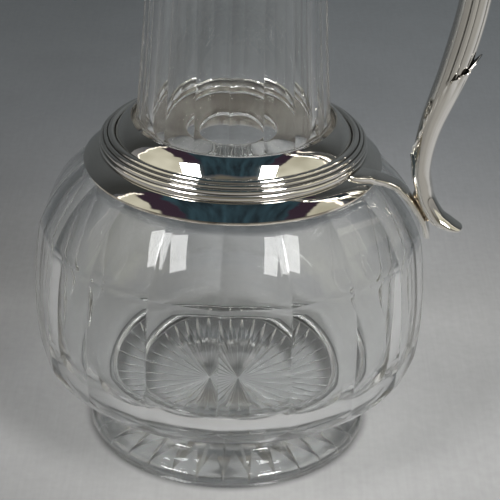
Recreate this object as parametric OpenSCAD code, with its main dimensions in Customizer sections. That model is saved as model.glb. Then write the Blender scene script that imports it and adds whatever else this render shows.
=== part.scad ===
// Claret jug: a cut glass vessel with silver mounts, a reeded handle and a hinged lid.
// Millimetres. The origin is the centre of the foot's underside, with +Z up,
// the handle towards +X and the spout towards -X.

/* [Glass] */
// Height of the glass, from the foot to the ground top of the neck
glass_h = 215; // [208:1:225]
// Widest radius of the belly, over the edges of the panels
belly_r = 73.5; // [72:0.5:76]
// Height of the widest part of the belly
belly_z = 57; // [54:1:60]
// Height of the crease between the belly panels and the shoulder panels
crease_z = 85.2; // [83:0.2:88]
// Radius at the crease, over the edges of the panels
crease_r = 71; // [69.5:0.5:71.5]
// Radius at the foot of the neck
neck_r = 35.3; // [34:0.1:36]
// Radius at the top of the neck
neck_top_r = 30.6; // [29:0.1:32]
// Number of flat cut panels
panels = 18; // [16:1:20]
// Thickness of the belly's wall
belly_wall = 4.5; // [3.5:0.5:6]
// Thickness of the neck's wall
neck_wall = 3.8; // [3:0.2:4.6]
// Height of the vessel's floor above the table
floor_z = 22; // [20:0.5:24]

/* [Foot] */
// Radius of the foot
foot_r = 53.7; // [51:0.1:56]
// Radius of the waist between foot and belly
waist_r = 43.5; // [41:0.5:46]
// Height of the waist
waist_z = 14; // [12.5:0.5:15.5]
// Rays of the star cut in the underside
star_rays = 32; // [24:2:36]
// Radius at which the star's rays end in points
star_r = 50.3; // [47:0.1:51]
// Radius out to which the rays keep their full depth
star_full_r = 30; // [24:1:36]
// Depth of the star's grooves
star_depth = 3; // [2:0.2:4]

/* [Shoulder collar] */
// Radius of the collar's lower edge
collar_r = 54.4; // [53.5:0.1:55.5]
// Height of the collar's lower edge
collar_z = 110; // [109:0.2:111]
// Radius of the collar's inner rim
collar_rim_r = 37; // [36.8:0.1:38]
// Height of the collar above its lower edge
collar_h = 16.2; // [15.5:0.1:17]
// Thickness of the silver
silver_t = 1.2; // [1:0.1:1.4]

/* [Handle] */
// How far the handle stands out, to the middle of its section
handle_reach = 84; // [82:0.5:88]
// Width of the handle's tongue where it leaves the collar
tongue_w = 21; // [18:1:24]
// Depth of the handle's section where it stands out furthest, in its own plane
handle_d = 10.6; // [9.8:0.2:11.4]
// Width of the handle's section there
handle_w = 12; // [11:0.2:13]

/* [Neck mount] */
// Length of the mount that covers the glass
mount_cover = 17; // [14:1:20]
// Height of the mouth above the top of the glass
mouth_rise = 25; // [22:1:28]
// Plaster between the glass and the mount
bedding_t = 1.2; // [1:0.1:1.6]
// Distance of the spout's tip circle from the axis
spout_reach = 47; // [43:1:51]
// Inner radius of the spout's tip
spout_tip_r = 2.4; // [2:0.2:3]

/* [Lid and hinge] */
// Rise of the lid's dome
dome_h = 20; // [16:1:24]
// Overhang of the lid past the mouth
lid_overhang = 1.6; // [1.2:0.1:2]
// Radius of the hinge pin
pin_r = 1.2; // [1:0.1:1.4]
// Radius of the hinge knuckles
knuckle_r = 3; // [2.6:0.1:3.2]
// Length of the middle knuckle
knuckle_l = 8; // [6:0.5:10]
// Height of the thumbpiece above the lid's leaf
thumb_h = 18; // [14:1:20]
// Height of the finial
finial_h = 24; // [20:1:28]

/* [Fits] */
// Gap left where pieces are soldered or cemented
seat_gap = 0.05; // [0.03:0.01:0.1]
// Gap between the lid and the mount, and along the hinge
run_gap = 0.2; // [0.15:0.05:0.3]
// Radial clearance of the hinge pin in the middle knuckle
pin_gap = 0.05; // [0.03:0.01:0.09]
// Radial gap between the lid's bezel and the mouth
bezel_gap = 0.7; // [0.6:0.05:0.9]

/* [Hidden] */
$fn = 64;

silver = "#c9c6bf";
glass_tint = [0.86, 0.9, 0.92, 0.45];
plaster = "#d8d4c8";

// Curves through few points, used by every profile below.
function bezier(a, c, b, n) = [for (i = [0 : n]) let (t = i / n) (1 - t) * (1 - t) * a + 2 * t * (1 - t) * c + t * t * b];
function rest(list) = [for (i = [1 : len(list) - 1]) list[i]];
function catmull(a, b, c, d, t) =
  0.5 * (2 * b + t * (c - a) + t * t * (2 * a - 5 * b + 4 * c - d) + t * t * t * (3 * b - a - 3 * c + d));
function smooth(p, n) = concat(
  [for (i = [0 : len(p) - 2]) for (j = [0 : n - 1])
    catmull(p[max(i - 1, 0)], p[i], p[i + 1], p[min(i + 2, len(p) - 1)], j / n)],
  [p[len(p) - 1]]);
function unit(v) = v / norm(v);

// A closed skin over rings of equal length, each anticlockwise seen from the next one.
// A shell's rings run out along one side and back along the other, and its ends are closed by strips.
module skin(rings, shell = false) {
  n = len(rings[0]);
  last = len(rings) - 1;
  sides = [for (k = [0 : last - 1]) for (i = [0 : n - 1])
    let (a = k * n + i, b = k * n + (i + 1) % n)
    each [[a, a + n, b + n], [a, b + n, b]]];
  strip = [for (i = [0 : n / 2 - 2]) each [[i, i + 1, n - 2 - i], [i, n - 2 - i, n - 1 - i]]];
  ends = shell
    ? concat(strip, [for (f = strip) [last * n + f[2], last * n + f[1], last * n + f[0]]])
    : [[for (i = [0 : n - 1]) i], [for (i = [n - 1 : -1 : 0]) last * n + i]];
  polyhedron(points = [for (r = rings) each r], faces = concat(sides, ends), convexity = 8);
}

// Glass: radii over the panel edges. The belly falls away below and above its widest height.
panel_foot_z = 31;
panel_foot_drop = 2.2;
shoulder_r = collar_r;
shoulder_z = collar_z - 1.4;
neck_foot_z = collar_z + 18;
function belly(z) = z < belly_z
  ? belly_r - panel_foot_drop * pow((belly_z - z) / (belly_z - panel_foot_z), 2.5)
  : belly_r - (belly_r - crease_r) * pow((z - belly_z) / (crease_z - belly_z), 2);
function shoulder_curve(n) =
  bezier([crease_r, crease_z], [crease_r - 5, crease_z + 14.3], [shoulder_r, shoulder_z], n);
hidden_shoulder = bezier([shoulder_r, shoulder_z], [neck_r + 1.2, collar_z + 8], [neck_r, neck_foot_z], 5);
neck_line = bezier([neck_r, neck_foot_z], [neck_top_r + 0.4, neck_foot_z + 48], [neck_top_r, glass_h], 6);
outline = concat(
  [for (i = [0 : 3]) let (z = panel_foot_z + (belly_z - panel_foot_z) * i / 4) [belly(z), z]],
  [for (i = [0 : 4]) let (z = belly_z + (crease_z - belly_z) * i / 4) [belly(z), z]],
  rest(shoulder_curve(7)),
  rest(hidden_shoulder), rest(neck_line));
function neck_at(z) = lookup(z, [for (p = neck_line) [p[1], p[0]]]);

module panelled_form() {
  levels = concat([[outline[0][0], waist_z]], outline);
  skin([for (p = levels) [for (k = [0 : panels - 1])
    [p[0] * cos(k * 360 / panels), p[0] * sin(k * 360 / panels), p[1]]]]);
}

module round_blank() {
  rotate_extrude() polygon(concat(
    [[0, 0], [foot_r - 0.5, 0], [foot_r, 0.8], [foot_r, 3.6], [foot_r - 0.5, 5]],
    rest(bezier([foot_r - 0.5, 5], [waist_r + 2, 8.6], [waist_r, waist_z], 5)),
    rest(bezier([waist_r, waist_z], [waist_r, 20.5], [waist_r + 8.5, 22.6], 4)),
    rest(bezier([waist_r + 8.5, 22.6], [belly_r - 2.6, 27], [belly_r - 0.9, 38], 6)),
    [[belly_r + 3, 44], [belly_r + 3, glass_h + 5], [0, glass_h + 5]]));
}

module foot_blank() {
  intersection() {
    round_blank();
    cylinder(r = belly_r, h = 23);
  }
}

inner_r = belly_r - belly_wall;
cavity_mouth = [neck_top_r - neck_wall, glass_h + 3];
module cavity() {
  rotate_extrude() polygon(concat(
    [[0, floor_z], [waist_r - 10, floor_z + 0.4]],
    rest(bezier([waist_r - 10, floor_z + 0.4], [inner_r - 2.5, floor_z + 2.6], [inner_r - 0.1, 50], 7)),
    [for (i = [0 : 4]) let (z = belly_z + (crease_z - 1.5 - belly_z) * i / 4) [belly(z) - belly_wall, z]],
    rest(bezier([belly(crease_z - 1.5) - belly_wall, crease_z - 1.5],
      [crease_r - 5 - belly_wall, crease_z + 11.4], [shoulder_r - belly_wall * 0.55, shoulder_z - belly_wall * 0.85], 5)),
    rest(bezier([shoulder_r - belly_wall * 0.55, shoulder_z - belly_wall * 0.85],
      [neck_r - neck_wall + 1, collar_z + 5], [neck_r - neck_wall - 0.3, neck_foot_z], 5)),
    rest(bezier([neck_r - neck_wall - 0.3, neck_foot_z],
      [cavity_mouth[0] + 0.4, neck_foot_z + 48], cavity_mouth, 5)),
    [[0, cavity_mouth[1]]]));
}

// The star: one pleated cutter. Its grooves meet in crests out to the full radius, then narrow to points.
star_ridge_z = 0.8;
module star_cutter() {
  n = 2 * star_rays;
  function at(r, k, z) = [r * cos(k * 360 / n), r * sin(k * 360 / n), z];
  low = [for (k = [0 : n - 1]) at(star_r, k, -1)];
  rim = [for (k = [0 : n - 1]) at(star_r, k, star_ridge_z)];
  full = [for (k = [0 : n - 1]) at(star_full_r, k, star_ridge_z + (k % 2 == 0 ? star_depth : 0))];
  polyhedron(
    points = concat(low, rim, full, [[0, 0, star_ridge_z + star_depth]]),
    faces = concat(
      [[for (k = [0 : n - 1]) k]],
      [for (k = [0 : n - 1]) let (m = (k + 1) % n) each [
        [k, k + n, m + n], [k, m + n, m],
        k % 2 == 0 ? [k + n, k + 2 * n, m + 2 * n] : [k + n, k + 2 * n, m + n],
        k % 2 == 0 ? [k + n, m + 2 * n, m + n] : [m + n, k + 2 * n, m + 2 * n],
        [k + 2 * n, 3 * n, m + 2 * n]]]));
}

module glass_body() color(glass_tint) difference() {
  union() {
    intersection() {
      round_blank();
      panelled_form();
    }
    foot_blank();
  }
  cavity();
  star_cutter();
}

// Collar section, from the inner rim over the reeds to the lower edge.
collar_top = collar_z + collar_h;
bead_z = collar_z + 5.75;
reeds = [
  [collar_r - 10.13, bead_z + 4.17, 1.28],
  [collar_r - 8.24, bead_z + 3.5, 0.9],
  [collar_r - 7, bead_z + 2.18, 0.98],
  [collar_r - 7.25, bead_z, 1.5]
];
upper_band = bezier([collar_rim_r + 0.2, collar_top], [collar_rim_r + 3.7, collar_top - 2.3],
  [collar_r - 11.45, collar_z + 10.05], 6);
lower_band = bezier([collar_r - 6.4, collar_z + 4.5], [collar_r - 3.1, collar_z + 2.85], [collar_r, collar_z], 5);
collar_in = [0.6, 0.8];
function below(p, t, edge_t) = [for (i = [len(p) - 1 : -1 : 0]) p[i] - (i == len(p) - 1 ? edge_t : t) * collar_in];

// Half-round reeds as one line of arcs: each arc runs from the groove before it to the groove after it.
function groove(a, b) = let (v = [b[0] - a[0], b[1] - a[1]], d = norm(v), turn = atan2(v[1], v[0]),
    along = (d * d + a[2] * a[2] - b[2] * b[2]) / (2 * d))
  [turn + acos(along / a[2]), turn + 180 - acos((d - along) / b[2])];
function reed_arc(b, from, to, n) =
  [for (i = [0 : n]) let (a = from + (to - from) * i / n) [b[0] + b[2] * cos(a), b[1] + b[2] * sin(a)]];
function reed_line(list, from, to, n) = let (last = len(list) - 1)
  [for (k = [0 : last]) each reed_arc(list[k], k == 0 ? from : groove(list[k - 1], list[k])[1],
    k == last ? to : groove(list[k], list[k + 1])[0], n)];

module shoulder_collar() color(silver) rotate_extrude() polygon(concat(
  [[collar_rim_r - 0.1, collar_top - silver_t]], upper_band, rest(reed_line(reeds, 174, -60, 7)), rest(lower_band),
  below(lower_band, silver_t, silver_t * 0.5), below(upper_band, silver_t, silver_t)));

// Cement fills the room between the collar and the glass, up to just below the rim.
module collar_cement() color(plaster) rotate_extrude() polygon(concat(
  [for (i = [4 : -1 : 0]) lower_band[i] - (silver_t + seat_gap) * collar_in],
  [for (i = [6 : -1 : 2]) upper_band[i] - (silver_t + seat_gap) * collar_in],
  [for (i = [4 : -1 : 1]) hidden_shoulder[i] + seat_gap * [1, 1]],
  [hidden_shoulder[0] + [-0.9, 0.6 + seat_gap]]));

// Tongue: a spear-shaped strap that lies on the lower band and follows the shoulder.
// Each row: radius and height of its underside, half width, thickness.
tongue_half = tongue_w / 2;
shoulder_line = shoulder_curve(20);
function shoulder_out(i) = let (d = unit(shoulder_line[min(i + 1, 20)] - shoulder_line[max(i - 1, 0)])) [d[1], -d[0]];
function over_shoulder(i, off) = shoulder_line[i] + off * shoulder_out(i);
tongue_rows = smooth([
  [collar_r - 4.2, collar_z + 4.5, tongue_half, silver_t * 0.8],
  [collar_r - 2.3, collar_z + 3.1, tongue_half * 0.93, silver_t * 1.25],
  [collar_r + 0.4, collar_z + 0.8, tongue_half * 0.74, silver_t * 1.5],
  concat(over_shoulder(14, 3), [tongue_half * 0.47, silver_t * 1.5]),
  concat(over_shoulder(9, 2.2), [tongue_half * 0.3, silver_t * 1.4]),
  concat(over_shoulder(4, 1.5), [tongue_half * 0.23, silver_t * 1.3]),
  [crease_r + 0.9, crease_z + 3, tongue_half * 0.2, silver_t * 1.25],
  [crease_r + 1.8, crease_z + 0.3, tongue_half * 0.13, silver_t]], 3);
function around(r, y, z) = let (a = y / r * 180 / PI) [r * cos(a), r * sin(a), z];
function row_normal(p, i) =
  let (d = unit([for (k = [0 : 1]) p[min(i + 1, len(p) - 1)][k] - p[max(i - 1, 0)][k]])) [-d[1], d[0]];
function tongue_ring(i) =
  let (q = tongue_rows[i], n = -row_normal(tongue_rows, i))
  [for (s = [[-1, 0.1], [-0.97, 0.5], [-0.6, 0.9], [0, 1], [0.6, 0.9], [0.97, 0.5], [1, 0.1], [0, 0]])
    around(q[0] + n[0] * s[1] * q[3] * -1, s[0] * q[2], q[1] - n[1] * s[1] * q[3])];
module handle_tongue() color(silver)
  skin([for (i = [0 : len(tongue_rows) - 1]) [for (k = [7 : -1 : 0]) tongue_ring(i)[k]]]);

// Handle: rows of radius, height, depth in its plane and width across it, from the lip to the neck mount.
sleeve_r = neck_top_r + bedding_t + silver_t;
socket_t = 4;
arm_z = glass_h + 3;
foot = over_shoulder(9, 5.3);
bend_z = glass_h - 9;
rise = bend_z - foot[1];
bulge = handle_reach - foot[0];
handle_rows = smooth([
  [foot[0] + bulge * 1.06, foot[1] - rise * 0.078, handle_d * 0.15, handle_w * 0.67],
  [foot[0] + bulge * 0.76, foot[1] - rise * 0.066, handle_d * 0.41, handle_w * 0.8],
  [foot[0] + bulge * 0.42, foot[1] - rise * 0.041, handle_d * 0.56, handle_w * 0.8],
  [foot[0] + bulge * 0.15, foot[1] + rise * 0.015, handle_d * 0.6, handle_w * 0.77],
  [foot[0] + bulge * 0.03, foot[1] + rise * 0.066, handle_d * 0.63, handle_w * 0.77],
  [foot[0] - bulge * 0.06, foot[1] + rise * 0.142, handle_d * 0.65, handle_w * 0.79],
  [foot[0] + bulge * 0.07, foot[1] + rise * 0.283, handle_d * 0.75, handle_w * 0.85],
  [foot[0] + bulge * 0.54, foot[1] + rise * 0.5, handle_d * 0.98, handle_w * 0.97],
  [foot[0] + bulge * 0.87, foot[1] + rise * 0.727, handle_d * 1.03, handle_w * 1.02],
  [handle_reach, bend_z - rise * 0.03, handle_d, handle_w],
  [handle_reach - bulge * 0.25, bend_z + rise * 0.13, handle_d * 0.95, handle_w * 0.97],
  [handle_reach - bulge * 1.2, bend_z + rise * 0.18, handle_d * 0.87, handle_w * 0.92],
  [sleeve_r + 21, arm_z + 4.3, handle_d * 0.83, handle_w * 0.87],
  [sleeve_r + 12, arm_z + 1.5, handle_d * 0.82, handle_w * 0.84],
  [sleeve_r + socket_t + 0.1, arm_z, handle_d * 0.85, handle_w * 0.84]], 4);
handle_last = len(handle_rows) - 1;

// Section angles: five half-round reeds on the outer side, then the plain inner side.
reed_edges = [-84, -64, -22, 22, 64, 84];
reed_steps = 4;
section = concat(
  [for (k = [0 : 4]) for (j = [0 : reed_steps - 1])
    let (w = reed_edges[k + 1] - reed_edges[k], q = 2 * j / reed_steps - 1)
    [reed_edges[k] + w * j / reed_steps, 0.0035 * w * (1 - sqrt(1 - q * q))]],
  [for (k = [0 : 10]) [84 + k * 192 / 11, 0]]);
reeded_from_z = foot[1] + rise * 0.55;
function handle_frame(i) =
  let (a = handle_rows[max(i - 1, 0)], b = handle_rows[min(i + 1, handle_last)], t = unit([b[0] - a[0], b[1] - a[1]]))
  [t[1], -t[0]];
function handle_point(i, angle, cut, proud) =
  let (q = handle_rows[i], n = handle_frame(i),
    u = (q[2] / 2 * (1 - cut) + proud) * cos(angle),
    v = (q[3] / 2 * (1 - cut) + proud) * sin(angle))
  [q[0] + n[0] * u, v, q[1] + n[1] * u];
function reeded(i) = handle_rows[i][1] > reeded_from_z || handle_rows[i][0] < handle_reach - 10 && i > handle_last / 2;
module handle_form() skin([for (i = [0 : handle_last])
  [for (s = section) handle_point(i, s[0], reeded(i) ? s[1] : 0, 0)]]);
module handle() color(silver) handle_form();

// Cast leaves: thin shells on the handle, from a feather edge to a lobed rim that curls away from it.
leaf_seat = 0.25;
leaf_t = 0.8;
function handle_at(t, angle, proud) = let (i = floor(t), f = t - i)
  handle_point(i, angle, 0, proud) * (1 - f) + handle_point(min(i + 1, handle_last), angle, 0, proud) * f;
module leaf(from, side, middle, mid, half, curl) {
  function lobe(k) = abs(cos(60 * k));
  function row_at(s, k) = from + s * (side - from + (middle - side) * pow(cos(10 * k), 2) + 0.4 * lobe(k));
  skin([for (s = [0 : 0.2 : 1.01]) concat(
    [for (k = [-9 : 9]) handle_at(row_at(s, k), mid + k * half / 9, leaf_seat + leaf_t * (0.2 + 0.8 * s)
      + curl * pow(s, 5) * lobe(k))],
    [for (k = [9 : -1 : -9]) handle_at(row_at(s, k), mid + k * half / 9, leaf_seat)])], shell = true);
}
module handle_outer_leaf() color(silver) leaf(24, 27.3, 29.8, 0, 96, leaf_t * 1.3);
module handle_inner_leaf() color(silver) leaf(19, 25.6, 21.8, 180, 78, leaf_t * 0.7);

// Solder block between tongue and handle, square to the strap.
module handle_saddle() color(silver) difference() {
  translate([foot[0], 0, foot[1]]) rotate([0, 40, 0]) translate([-2, 0, 0]) cylinder(r = 3.4, h = 7.4, center = true);
  handle_form();
  skin([for (i = [0 : len(tongue_rows) - 1]) [for (k = [7 : -1 : 0]) tongue_ring(i)[k]]]);
}

// Round boss that carries the handle's upper end on the neck mount.
module handle_socket() color(silver) difference() {
  translate([0, 0, arm_z]) rotate([0, 90, 0]) union() {
    cylinder(r = 7.4, h = sleeve_r + 2.2);
    cylinder(r = 6.2, h = sleeve_r + socket_t);
  }
  translate([0, 0, arm_z - 12]) cylinder(r = sleeve_r + seat_gap, h = 24);
}

// Neck mount: a sleeve over the glass with a ledge on its ground top, open towards the spout.
mouth_z = glass_h + mouth_rise;
mount_foot_z = glass_h - mount_cover;
bore_r = sleeve_r - silver_t;
ledge_z = glass_h + 0.1;
// Plan of mouth and spout: the bore's circle, and tangents from it to the tip's circle.
function plan_line(r, tip) = let (a = acos((r - tip) / spout_reach)) concat(
  [for (i = [0 : 90]) let (t = (a - 180) * (1 - i / 45)) r * [cos(t), sin(t)]],
  [for (i = [0 : 10]) let (t = 180 - a + 2 * a * i / 10) [tip * cos(t) - spout_reach, tip * sin(t)]]);
module plan(r, tip) polygon(plan_line(r, tip));
module spout_form(r, tip, low_r, low_z, over) hull() {
  translate([0, 0, mouth_z + over - 0.1]) linear_extrude(0.1) plan(r, tip);
  translate([0, 0, low_z]) cylinder(r = low_r, h = 0.1);
}
module spout_channel() spout_form(bore_r, spout_tip_r, bore_r - 3.5, glass_h + 5, 0.4);
module neck_mount() color(silver) difference() {
  rotate_extrude() polygon([
    [bore_r, mount_foot_z], [sleeve_r, mount_foot_z], [sleeve_r, mouth_z], [bore_r, mouth_z],
    [bore_r, ledge_z + silver_t], [cavity_mouth[0] + 0.3, ledge_z + silver_t],
    [cavity_mouth[0] + 0.3, ledge_z], [bore_r, ledge_z]]);
  spout_channel();
}
module neck_plaster() color(plaster) rotate_extrude() polygon([
  [neck_at(mount_foot_z + 1) + 2 * seat_gap, mount_foot_z + 1], [bore_r - seat_gap, mount_foot_z + 1],
  [bore_r - seat_gap, glass_h], [neck_top_r + 2 * seat_gap, glass_h]]);

// Three applied reeds round the foot of the mount.
reeding_r = silver_t * 0.96;
module mount_reeding() color(silver) rotate_extrude() difference() {
  union() {
    translate([sleeve_r, mount_foot_z]) square([silver_t * 0.8, 6 * reeding_r]);
    for (k = [0 : 2]) translate([sleeve_r + silver_t * 0.75, mount_foot_z + (1 + 2 * k) * reeding_r]) circle(r = reeding_r);
  }
  translate([0, mount_foot_z - 1]) square([sleeve_r + seat_gap, 10]);
}

module pouring_spout() color(silver) difference() {
  spout_form(sleeve_r, spout_tip_r + silver_t, sleeve_r - 3, glass_h, 0);
  spout_channel();
  translate([0, 0, glass_h - 5]) cylinder(r = sleeve_r + seat_gap, h = mouth_rise + 10);
}

// Half-round wire round the mouth, broken at the hinge.
wire_t = 1.4;
leaf_half = knuckle_l / 2 + run_gap + 6;
module mouth_wire() color(silver) difference() {
  translate([0, 0, mouth_z - 1.5]) linear_extrude(1.3) difference() {
    plan(sleeve_r + wire_t, spout_tip_r + silver_t + wire_t);
    plan(sleeve_r + seat_gap, spout_tip_r + silver_t + seat_gap);
  }
  translate([sleeve_r / 2, -leaf_half - run_gap, mouth_z - 5]) cube([sleeve_r, 2 * (leaf_half + run_gap), 10]);
}

// Hinge: two knuckles on the mount, one on the lid, and the pin through them.
lid_z = mouth_z + run_gap;
flange_t = 1.6;
flange_r = sleeve_r + lid_overhang;
hinge_x = flange_r + knuckle_r + 1.4;
hinge_z = mouth_z + 1.5;
module across(y0, y1) translate([0, y1, 0]) rotate([90, 0, 0]) linear_extrude(y1 - y0) children();
module mount_hinge_leaf() color(silver) difference() {
  for (side = [0, 1]) mirror([0, side, 0]) union() {
    across(knuckle_l / 2 + run_gap, leaf_half) {
      translate([hinge_x, hinge_z]) circle(r = knuckle_r);
      polygon([[sleeve_r - 1, mouth_z - 12], [sleeve_r + 1.6, mouth_z - 12], [hinge_x + knuckle_r * 0.9, hinge_z - knuckle_r * 0.4],
        [hinge_x - knuckle_r * 0.9, hinge_z - knuckle_r * 0.4], [sleeve_r + 0.4, mouth_z - 4], [sleeve_r - 1, mouth_z - 4]]);
    }
    across(-0.1, knuckle_l / 2 + run_gap + 0.1)
      translate([sleeve_r - 1, mouth_z - 12]) square([2.4, 6]);
  }
  translate([0, 0, mouth_z - 20]) cylinder(r = sleeve_r + seat_gap, h = 40);
  across(-leaf_half - 1, leaf_half + 1) translate([hinge_x, hinge_z]) circle(r = pin_r);
}
module hinge_pin() color(silver) {
  across(-leaf_half, leaf_half) translate([hinge_x, hinge_z]) circle(r = pin_r - 0.01);
  for (side = [0, 1]) mirror([0, side, 0])
    across(leaf_half + 0.02, leaf_half + 0.9) translate([hinge_x, hinge_z]) circle(r = pin_r + 0.7);
  for (side = [0, 1]) mirror([0, side, 0])
    across(leaf_half - 0.1, leaf_half + 0.5) translate([hinge_x, hinge_z]) circle(r = pin_r - 0.01);
}
dome_r = flange_r - 5;
leaf_top = lid_z + flange_t + 2.8;
module lid_hinge_leaf() color(silver) difference() {
  across(-knuckle_l / 2, knuckle_l / 2) {
    translate([hinge_x, hinge_z]) circle(r = knuckle_r);
    polygon([[dome_r + 0.8, lid_z + flange_t + seat_gap], [flange_r + 0.1, lid_z + flange_t + seat_gap],
      [flange_r + 0.1, lid_z + 0.1], [hinge_x, lid_z + 0.1], [hinge_x + 0.5, leaf_top], [dome_r + 0.8, leaf_top]]);
  }
  across(-knuckle_l, knuckle_l) translate([hinge_x, hinge_z]) circle(r = pin_r + pin_gap);
}

// Lid: a flat flange that covers mouth and spout, raised to a hollow dome.
function dome(r, h, n) = [for (i = [0 : n]) let (a = 90 * i / n) [r * cos(a), lid_z + flange_t + h * (0.25 * a / 90 + 0.75 * sin(a))]];
module lid_cover() color(silver) difference() {
  union() {
    translate([0, 0, lid_z]) linear_extrude(flange_t) plan(flange_r, spout_tip_r + silver_t + lid_overhang);
    rotate_extrude() polygon(concat([[0, lid_z], [dome_r, lid_z]], dome(dome_r, dome_h, 10)));
  }
  rotate_extrude() polygon(concat([[0, lid_z - 1], [dome_r - silver_t, lid_z - 1]],
    dome(dome_r - silver_t, dome_h - silver_t, 10)));
  translate([0, 0, lid_z]) cylinder(r = stud_r + seat_gap, h = dome_h + 10);
}
module lid_rim_wire() color(silver) difference() {
  rotate_extrude() translate([dome_r + 1.0, lid_z + flange_t + 0.6]) circle(r = 0.85);
  translate([0, 0, lid_z - 5]) cylinder(r = flange_r + 5, h = 5 + flange_t + seat_gap);
  translate([0, 0, lid_z]) cylinder(r = dome_r + seat_gap, h = 10);
  translate([0, -knuckle_l / 2 - 0.1, lid_z]) cube([flange_r, knuckle_l + 0.2, 8]);
}
bezel_h = 4.5;
bezel_r = bore_r - bezel_gap;
module lid_bezel() color(silver) translate([0, 0, lid_z - bezel_h]) difference() {
  cylinder(r = bezel_r, h = bezel_h - seat_gap);
  translate([0, 0, -1]) cylinder(r = bezel_r - silver_t, h = bezel_h + 2);
}

// Thumbpiece: a curved blade with a three-lobed outline.
thumb_w = 9;
module thumbpiece() color(silver) intersection() {
  across(-20, 20) polygon(concat(
    bezier([dome_r + 1.4, leaf_top + seat_gap], [hinge_x - 2, leaf_top + 3], [hinge_x + 5, leaf_top + thumb_h + 2], 6),
    [for (i = [6 : -1 : 0]) bezier([hinge_x + 0.3, leaf_top + seat_gap], [hinge_x + 0.5, leaf_top + 4],
      [hinge_x + 7, leaf_top + thumb_h + 2], 6)[i]]));
  translate([0, 0, leaf_top]) rotate([90, 0, 90]) linear_extrude(100) {
    translate([0, thumb_h - thumb_w * 0.45]) circle(r = thumb_w * 0.45);
    for (s = [-1, 1]) translate([s * thumb_w * 0.55, thumb_h - thumb_w * 0.8]) circle(r = thumb_w * 0.36);
    translate([-knuckle_l / 2 + 0.5, 0]) square([knuckle_l - 1, thumb_h - thumb_w * 0.8]);
  }
}

// Finial: a calyx, a turned knop, the stud that holds it and the nut inside the lid.
stud_r = 1.5;
dome_top = lid_z + flange_t + dome_h;
calyx_h = 3;
knop_z = dome_top + calyx_h;
module finial_calyx() color(silver) difference() {
  translate([0, 0, dome_top - 0.9]) union() {
    cylinder(r1 = 8, r2 = 6, h = 1.9);
    cylinder(r = 4.4, h = 0.9 + calyx_h - seat_gap);
  }
  rotate_extrude() polygon(concat([[0, lid_z], [dome_r, lid_z]], dome(dome_r + seat_gap, dome_h + seat_gap, 10)));
  translate([0, 0, dome_top - 5]) cylinder(r = stud_r + seat_gap, h = 15);
}
module finial() color(silver) difference() {
  translate([0, 0, knop_z]) rotate_extrude() polygon(concat(
    [[0, 0], [4.2, 0], [4.6, 0.8], [4.2, 1.6], [2.6, 2.6], [2.4, 3.6]],
    [for (i = [0 : 8]) let (t = i / 8) [2.6 + (finial_h * 0.24) * sin(180 * pow(t, 0.8)), 4.2 + (finial_h - 8) * t]],
    [[2.2, finial_h - 2.8], [1.8, finial_h - 1], [0.9, finial_h - 0.1], [0, finial_h]]));
  translate([0, 0, knop_z - 1]) cylinder(r = stud_r + seat_gap, h = 8);
}
nut_h = 2.4;
module finial_stud() color(silver)
  translate([0, 0, dome_top - silver_t - 3.4]) cylinder(r = stud_r, h = silver_t + 3.4 + calyx_h + 6);
module finial_nut() color(silver) difference() {
  translate([0, 0, dome_top - silver_t - nut_h - 0.6]) cylinder(r = 3.2, h = nut_h, $fn = 6);
  translate([0, 0, dome_top - 12]) cylinder(r = stud_r + seat_gap, h = 20);
}

glass_body();
shoulder_collar();
collar_cement();
handle_tongue();
handle_saddle();
handle();
handle_outer_leaf();
handle_inner_leaf();
handle_socket();
neck_mount();
neck_plaster();
mount_reeding();
pouring_spout();
mouth_wire();
mount_hinge_leaf();
hinge_pin();
lid_hinge_leaf();
lid_cover();
lid_rim_wire();
lid_bezel();
thumbpiece();
finial_calyx();
finial();
finial_stud();
finial_nut();
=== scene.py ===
# %% [markdown]
# A claret jug is a glass decanter with silver fitted round it: a collar on the shoulder, a mount
# with spout and hinged lid on the neck, and a handle between the two. The silver pieces and the
# glass come packed from the construction model, in metres, with the handle towards +X. This lesson
# gives each of them its finish. It also builds those again that the picture shows in full detail: the
# glass, the collar and its bedding, the handle and its leaf sheath, the strap and the solder. Glass
# and silver show what stands around them, so most of the work is clean curved surfaces, crisp cut
# edges and a studio worth reflecting.

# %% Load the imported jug
import bpy
from math import acos, atan2, cos, degrees, hypot, pi, radians, sin, sqrt
from mathutils import Matrix, Vector


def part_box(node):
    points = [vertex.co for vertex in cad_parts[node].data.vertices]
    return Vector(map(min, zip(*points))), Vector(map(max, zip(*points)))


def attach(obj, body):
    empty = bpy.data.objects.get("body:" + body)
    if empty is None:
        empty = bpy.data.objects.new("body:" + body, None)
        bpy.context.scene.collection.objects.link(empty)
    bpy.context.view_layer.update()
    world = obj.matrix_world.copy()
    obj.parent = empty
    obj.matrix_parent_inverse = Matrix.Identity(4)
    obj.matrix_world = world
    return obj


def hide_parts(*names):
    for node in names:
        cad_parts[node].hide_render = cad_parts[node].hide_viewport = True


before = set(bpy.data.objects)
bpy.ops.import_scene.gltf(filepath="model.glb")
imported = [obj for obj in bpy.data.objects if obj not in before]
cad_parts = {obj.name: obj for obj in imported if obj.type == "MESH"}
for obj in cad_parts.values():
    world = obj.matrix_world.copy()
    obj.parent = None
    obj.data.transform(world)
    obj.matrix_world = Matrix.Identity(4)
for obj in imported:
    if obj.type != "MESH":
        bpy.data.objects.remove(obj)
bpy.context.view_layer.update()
MM = 0.001

# %% [markdown]
# The camera comes first, because every later look depends on it. The picture was taken from a bit
# above the shoulder with a long lens. Four rings of the jug, which look like ellipses, give its
# height, tilt and distance, and the direction of the handle gives the turn round the jug.

# %% Camera at the photographed angle
CAMERA_TURN = 11.5
CAMERA_TILT = 27.87
CAMERA_ROLL = 1.74
CAMERA_DISTANCE = 600 * MM
CAMERA_TARGET = Vector((7.06, 1.44, 71.23)) * MM
LENS_MM = 114.65


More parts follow.
